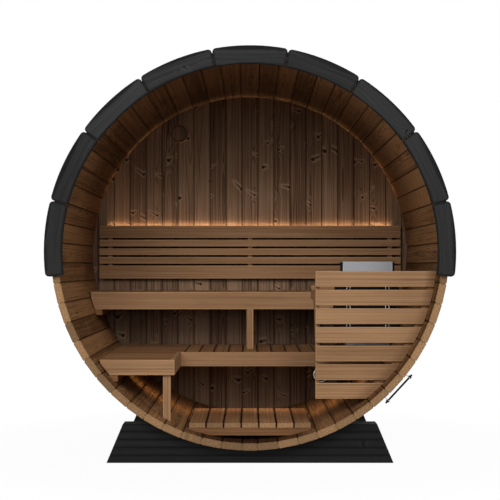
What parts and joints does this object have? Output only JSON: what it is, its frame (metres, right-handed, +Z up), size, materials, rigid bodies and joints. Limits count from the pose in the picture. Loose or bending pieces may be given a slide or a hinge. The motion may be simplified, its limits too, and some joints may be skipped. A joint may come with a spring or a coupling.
{
  "type": "barrel sauna",
  "caption": "Lying stave barrel on two cradles, open at the front, with slatted benches, backrest, floor grate, guarded heater and a dark roof edge.",
  "frame": {"origin": "on the ground, under the middle of the barrel's bounding box", "axes": "+X to the right of someone facing the open front, +Y from the front to the back wall, +Z up"},
  "size_m": [2.122, 1.6566, 2.1708],
  "materials": {
    "stave_wood": "thermally treated softwood, planed, clear oil",
    "wall_wood": "thermally treated softwood boards, planed",
    "bench_wood": "thermally treated hardwood, sanded",
    "frame_wood": "thermally treated softwood, planed",
    "charcoal_wood": "opaque charcoal stain, matt",
    "cradle_wood": "opaque black stain, matt",
    "roofing": "mineral-coated bitumen shingles",
    "band_steel": "satin stainless steel",
    "light": "diffuser of a warm light strip",
    "heater_black": "black powder coat",
    "heater_steel": "brushed stainless steel",
    "heater_chrome": "polished",
    "stone": "rough dark stone"
  },
  "bodies": {
    "root": {"staves_bottom": "stave_wood", "staves_bottom_right": "stave_wood", "staves_right_low": "stave_wood", "staves_right": "stave_wood", "staves_right_high": "stave_wood", "staves_top_right": "stave_wood", "staves_top": "stave_wood", "staves_top_left": "stave_wood", "staves_left_high": "stave_wood", "staves_left": "stave_wood", "staves_left_low": "stave_wood", "staves_bottom_left": "stave_wood", "back_wall": "wall_wood", "backrest_slats": "bench_wood", "upper_bench_slats": "bench_wood", "upper_bench_apron": "bench_wood", "lower_bench_slats": "bench_wood", "lower_bench_apron": "bench_wood", "side_bench_slats": "bench_wood", "side_bench_aprons": "bench_wood", "bench_posts": "bench_wood", "floor_slats": "bench_wood", "guard_slats": "bench_wood", "guard_bracket": "bench_wood", "guard_shelf": "bench_wood", "wood_vent": "bench_wood", "backrest_battens": "bench_wood", "upper_bench_bearers": "frame_wood", "lower_bench_bearers": "frame_wood", "floor_bearers": "frame_wood", "guard_rib": "frame_wood", "front_edge_boards": "charcoal_wood", "back_edge_boards": "charcoal_wood", "front_cradle": "cradle_wood", "rear_cradle": "cradle_wood", "roof_covering": "roofing", "steel_bands": "band_steel", "band_tensioners": "band_steel", "steel_vent": "band_steel", "light_strips": "light", "heater_shield": "heater_black", "heater_hanger": "heater_black", "heater_core": "heater_steel", "heater_loops": "heater_chrome", "heater_stones": "stone"}
  },
  "joints": []
}
